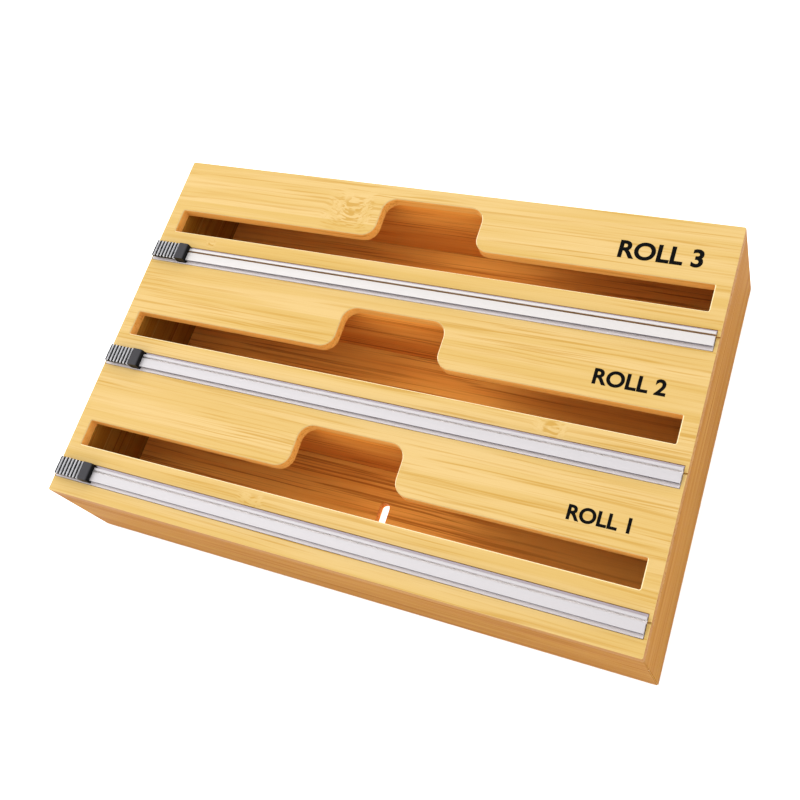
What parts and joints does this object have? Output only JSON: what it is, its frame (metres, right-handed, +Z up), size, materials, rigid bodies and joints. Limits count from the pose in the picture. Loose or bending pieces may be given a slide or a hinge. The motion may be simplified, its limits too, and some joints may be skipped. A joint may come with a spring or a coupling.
{
  "type": "kitchen wrap dispenser",
  "caption": "Low bamboo box whose hinged, slotted lid lets film, foil and paper be drawn off rolls inside and cut with slide cutters on clear tracks.",
  "frame": {"origin": "middle of the footprint, at the surface that the box stands on", "axes": "+X to the right along the rolls, +Y from the front to the hinges at the back, +Z up"},
  "size_m": [0.33, 0.2204, 0.0697],
  "materials": {
    "bamboo_top": "satin lacquered bamboo, light face",
    "bamboo_side": "satin lacquered bamboo, darker side grain",
    "track_plastic": "clear extruded plastic",
    "foam_tape": "double-sided foam tape",
    "slider_plastic": "moulded dark grey plastic",
    "carrier_plastic": "moulded black plastic",
    "blade_steel": "ground stainless steel",
    "hinge_steel": "zinc-plated steel",
    "magnet": "nickel-plated magnet"
  },
  "bodies": {
    "box": {"front_wall": "bamboo_side", "back_wall": "bamboo_side", "left_wall": "bamboo_side", "right_wall": "bamboo_side", "base_board": "bamboo_side", "front_divider": "bamboo_side", "rear_divider": "bamboo_side", "left_hinge_box_leaf": "hinge_steel", "left_hinge_pin": "hinge_steel", "left_hinge_box_screw_1": "hinge_steel", "left_hinge_box_screw_2": "hinge_steel", "left_box_magnet": "magnet", "right_hinge_box_leaf": "hinge_steel", "right_hinge_pin": "hinge_steel", "right_hinge_box_screw_1": "hinge_steel", "right_hinge_box_screw_2": "hinge_steel", "right_box_magnet": "magnet"},
    "lid": {"lid_panel": "bamboo_top", "left_hinge_lid_leaf": "hinge_steel", "left_hinge_lid_screw_1": "hinge_steel", "left_hinge_lid_screw_2": "hinge_steel", "left_lid_magnet": "magnet", "right_hinge_lid_leaf": "hinge_steel", "right_hinge_lid_screw_1": "hinge_steel", "right_hinge_lid_screw_2": "hinge_steel", "right_lid_magnet": "magnet", "front_track": "track_plastic", "front_track_tape": "foam_tape", "middle_track": "track_plastic", "middle_track_tape": "foam_tape", "rear_track": "track_plastic", "rear_track_tape": "foam_tape"},
    "front_slider": {"front_slider_grip": "slider_plastic", "front_blade_carrier": "carrier_plastic", "front_blade": "blade_steel"},
    "middle_slider": {"middle_slider_grip": "slider_plastic", "middle_blade_carrier": "carrier_plastic", "middle_blade": "blade_steel"},
    "rear_slider": {"rear_slider_grip": "slider_plastic", "rear_blade_carrier": "carrier_plastic", "rear_blade": "blade_steel"}
  },
  "joints": [
    {"name": "lid_hinge", "type": "hinge", "parent": "box", "child": "lid", "pos_m": [0, 0.10865, 0.0569], "axis": [-1, 0, 0], "range_deg": [0, 110]},
    {"name": "front_slider_travel", "type": "slide", "parent": "lid", "child": "front_slider", "axis": [1, 0, 0], "range_m": [0, 0.3]},
    {"name": "middle_slider_travel", "type": "slide", "parent": "lid", "child": "middle_slider", "axis": [1, 0, 0], "range_m": [0, 0.3]},
    {"name": "rear_slider_travel", "type": "slide", "parent": "lid", "child": "rear_slider", "axis": [1, 0, 0], "range_m": [0, 0.3]}
  ]
}
